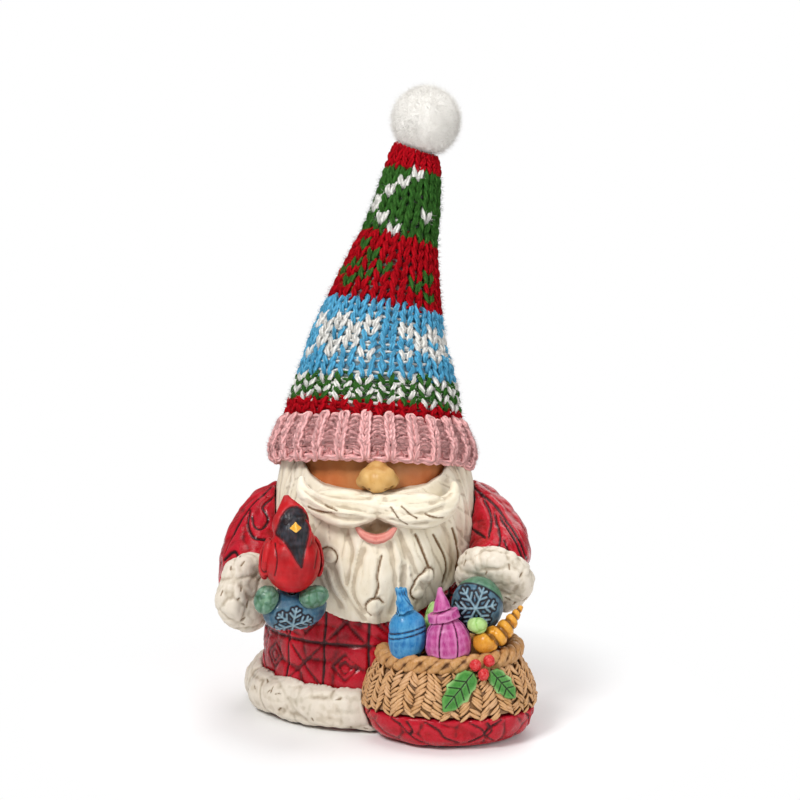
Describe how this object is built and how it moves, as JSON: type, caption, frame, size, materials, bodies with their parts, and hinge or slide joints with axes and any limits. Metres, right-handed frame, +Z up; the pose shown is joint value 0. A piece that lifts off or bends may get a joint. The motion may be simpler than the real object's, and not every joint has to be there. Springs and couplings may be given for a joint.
{
  "type": "tomte gnome figurine",
  "caption": "Painted resin gnome in a red quilted robe with a bird on one mitten, a basket of baubles and a tall knitted hat that lifts off.",
  "frame": {"origin": "centre of the felt pad's underside, where the figure stands", "axes": "+Z up through the hat, -Y the way the gnome faces, +X towards the gnome's left hand and the basket"},
  "size_m": [0.088, 0.0878, 0.1772],
  "materials": {
    "robe_red": "satin",
    "fur_cream": "satin",
    "beard_ivory": "satin",
    "skin": "satin",
    "nose_tan": "satin",
    "lip_pink": "satin",
    "mitten_blue": "satin",
    "mitten_green": "satin",
    "bird_red": "satin",
    "bird_black": "satin",
    "beak_yellow": "satin",
    "straw": "satin",
    "bauble_blue": "satin",
    "bauble_pink": "satin",
    "bauble_gold": "satin",
    "bauble_lime": "satin",
    "holly_green": "satin",
    "berry_red": "satin",
    "knit_colours": "matte",
    "knit_pink": "matte",
    "wool_white": "matte",
    "felt_green": "matte",
    "steel_pin": "satin",
    "bare_resin": "matte"
  },
  "bodies": {
    "figure": {"base_felt": "felt_green", "robe": "robe_red", "hem_fur": "fur_cream", "head": "skin", "hair": "beard_ivory", "beard": "beard_ivory", "moustache_right": "beard_ivory", "moustache_left": "beard_ivory", "nose": "nose_tan", "lower_lip": "lip_pink", "right_sleeve": "robe_red", "left_sleeve": "robe_red", "right_cuff": "fur_cream", "left_cuff": "fur_cream", "right_mitten": "mitten_blue", "right_mitten_thumb": "mitten_green", "right_mitten_fingers": "mitten_green", "left_mitten": "mitten_blue", "bird_body": "bird_red", "bird_head": "bird_red", "bird_mask": "bird_black", "bird_beak": "beak_yellow", "bird_wing_right": "bird_red", "bird_wing_left": "bird_red", "basket_base": "robe_red", "basket_body": "straw", "basket_rim": "straw", "blue_bauble": "bauble_blue", "blue_bauble_cap": "bauble_blue", "pink_bauble": "bauble_pink", "pink_bauble_collar": "bauble_pink", "pink_bauble_spire": "bauble_pink", "gold_icicle": "bauble_gold", "gold_icicle_cap": "bauble_lime", "green_bauble": "bauble_lime", "holly_leaf_long": "holly_green", "holly_leaf_short": "holly_green", "holly_berry_1": "berry_red", "holly_berry_2": "berry_red", "holly_berry_3": "berry_red", "neck_peg": "bare_resin", "right_arm_peg": "bare_resin", "left_arm_peg": "bare_resin", "basket_peg_upper": "steel_pin", "bird_pin": "steel_pin"},
    "hat": {"hat_crown": "knit_colours", "hat_cuff": "knit_pink", "hat_wadding": "wool_white"},
    "pompom": {"pompom": "wool_white", "pompom_tie": "wool_white"}
  },
  "joints": [
    {"name": "hat_lift", "type": "slide", "parent": "figure", "child": "hat", "axis": [0.03, 0.1998, 0.9794], "range_m": [0, 0.045]},
    {"name": "pompom_nod", "type": "hinge", "parent": "hat", "child": "pompom", "pos_m": [0.0117, 0.0105, 0.157], "axis": [0, 1, 0], "range_deg": [-14, 14], "stiffness_Nm_per_rad": 0.02}
  ]
}
